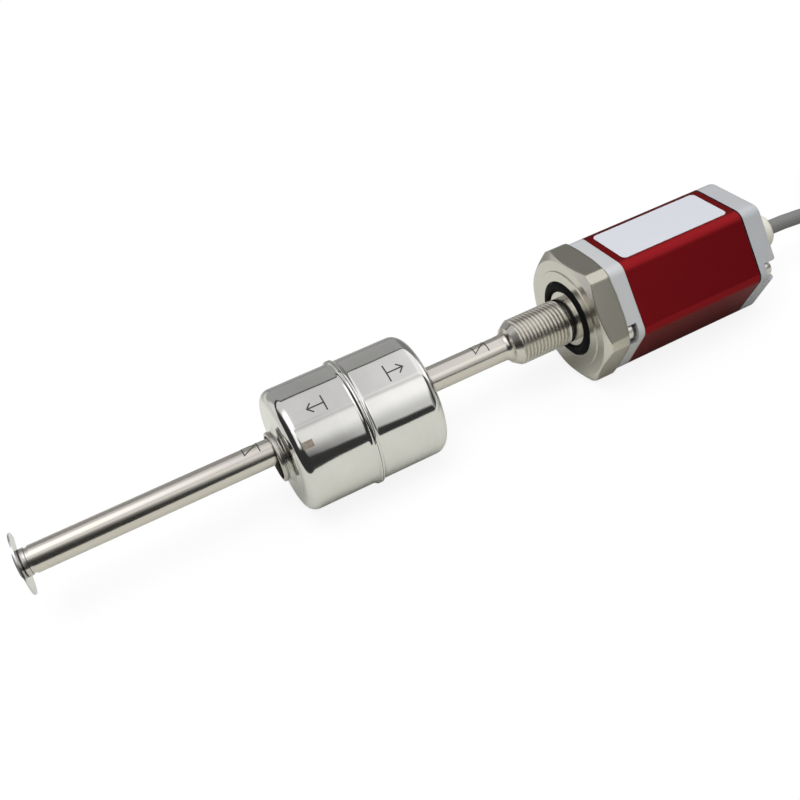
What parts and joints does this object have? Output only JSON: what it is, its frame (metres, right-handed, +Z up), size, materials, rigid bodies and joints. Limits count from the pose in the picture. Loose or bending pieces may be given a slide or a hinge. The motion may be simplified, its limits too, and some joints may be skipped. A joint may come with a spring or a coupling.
{
  "type": "magnetostrictive level sensor",
  "caption": "Level sensor with a hexagonal housing and cable, a threaded hexagon flange and a steel rod on which a ring-shaped float slides up to a snap ring at the tip.",
  "frame": {"origin": "centre of the flange's flat sealing seat, on the rod's axis", "axes": "+X along the rod's axis from its tip to the head and cable, +Z up on the label's side, the sensor lies on its side as on a table"},
  "size_m": [0.4408, 0.0799, 0.0508],
  "materials": {
    "rod_steel": "polished along its length",
    "ring_steel": "polished spring steel",
    "flange_metal": "turned, warm grey",
    "seal_rubber": "matt black",
    "nut_brass": "turned",
    "cap_aluminium": "satin anodised",
    "body_red": "red anodised, satin",
    "screw_steel": "knurled heads",
    "label_film": "bare satin film",
    "gland_nylon": "ivory, moulded",
    "cable_jacket": "grey, smooth",
    "tie_nylon": "black, moulded",
    "core_insulation": "coloured cores",
    "board_laminate": "green solder mask",
    "terminal_plastic": "moulded",
    "chip_epoxy": "moulded",
    "holder_plastic": "moulded",
    "winding_copper": "enamelled copper wire",
    "magnet_ferrite": "sintered",
    "anchor_brass": "turned",
    "waveguide_alloy": "drawn wire",
    "sheath_white": "extruded tube",
    "return_copper": "drawn wire",
    "damper_rubber": "soft silicone",
    "float_steel": "polished",
    "clip_steel": "pressed"
  },
  "bodies": {
    "sensor": {"rod_tube": "rod_steel", "end_plug": "rod_steel", "stop_ring": "ring_steel", "hex_flange": "flange_metal", "flange_o_ring": "seal_rubber", "front_gasket": "seal_rubber", "rear_gasket": "seal_rubber", "gland_seal": "seal_rubber", "flange_nut": "nut_brass", "front_cap": "cap_aluminium", "rear_cap": "cap_aluminium", "housing_body": "body_red", "cap_screws": "screw_steel", "name_label": "label_film", "gland_body": "gland_nylon", "gland_nut": "gland_nylon", "cable": "cable_jacket", "cable_coil": "cable_jacket", "cable_tail": "cable_jacket", "cable_entry": "cable_jacket", "cable_tie": "tie_nylon", "inner_cores": "core_insulation", "core_ends": "core_insulation", "circuit_board": "board_laminate", "terminal_block": "terminal_plastic", "board_chips": "chip_epoxy", "element_holder": "holder_plastic", "pickup_bobbin": "holder_plastic", "coil_winding": "winding_copper", "bias_magnet": "magnet_ferrite", "waveguide_anchor": "anchor_brass", "return_joint": "anchor_brass", "waveguide_wire": "waveguide_alloy", "waveguide_sheath": "sheath_white", "return_wire": "return_copper", "damping_sleeve": "damper_rubber"},
    "float": {"float_shell_tip": "float_steel", "float_shell_head": "float_steel", "float_tube": "float_steel", "float_magnet": "magnet_ferrite", "magnet_clips": "clip_steel"}
  },
  "joints": [
    {"name": "float_slide", "type": "slide", "parent": "sensor", "child": "float", "axis": [1, 0, 0], "range_m": [-0.0893, 0.033]}
  ]
}
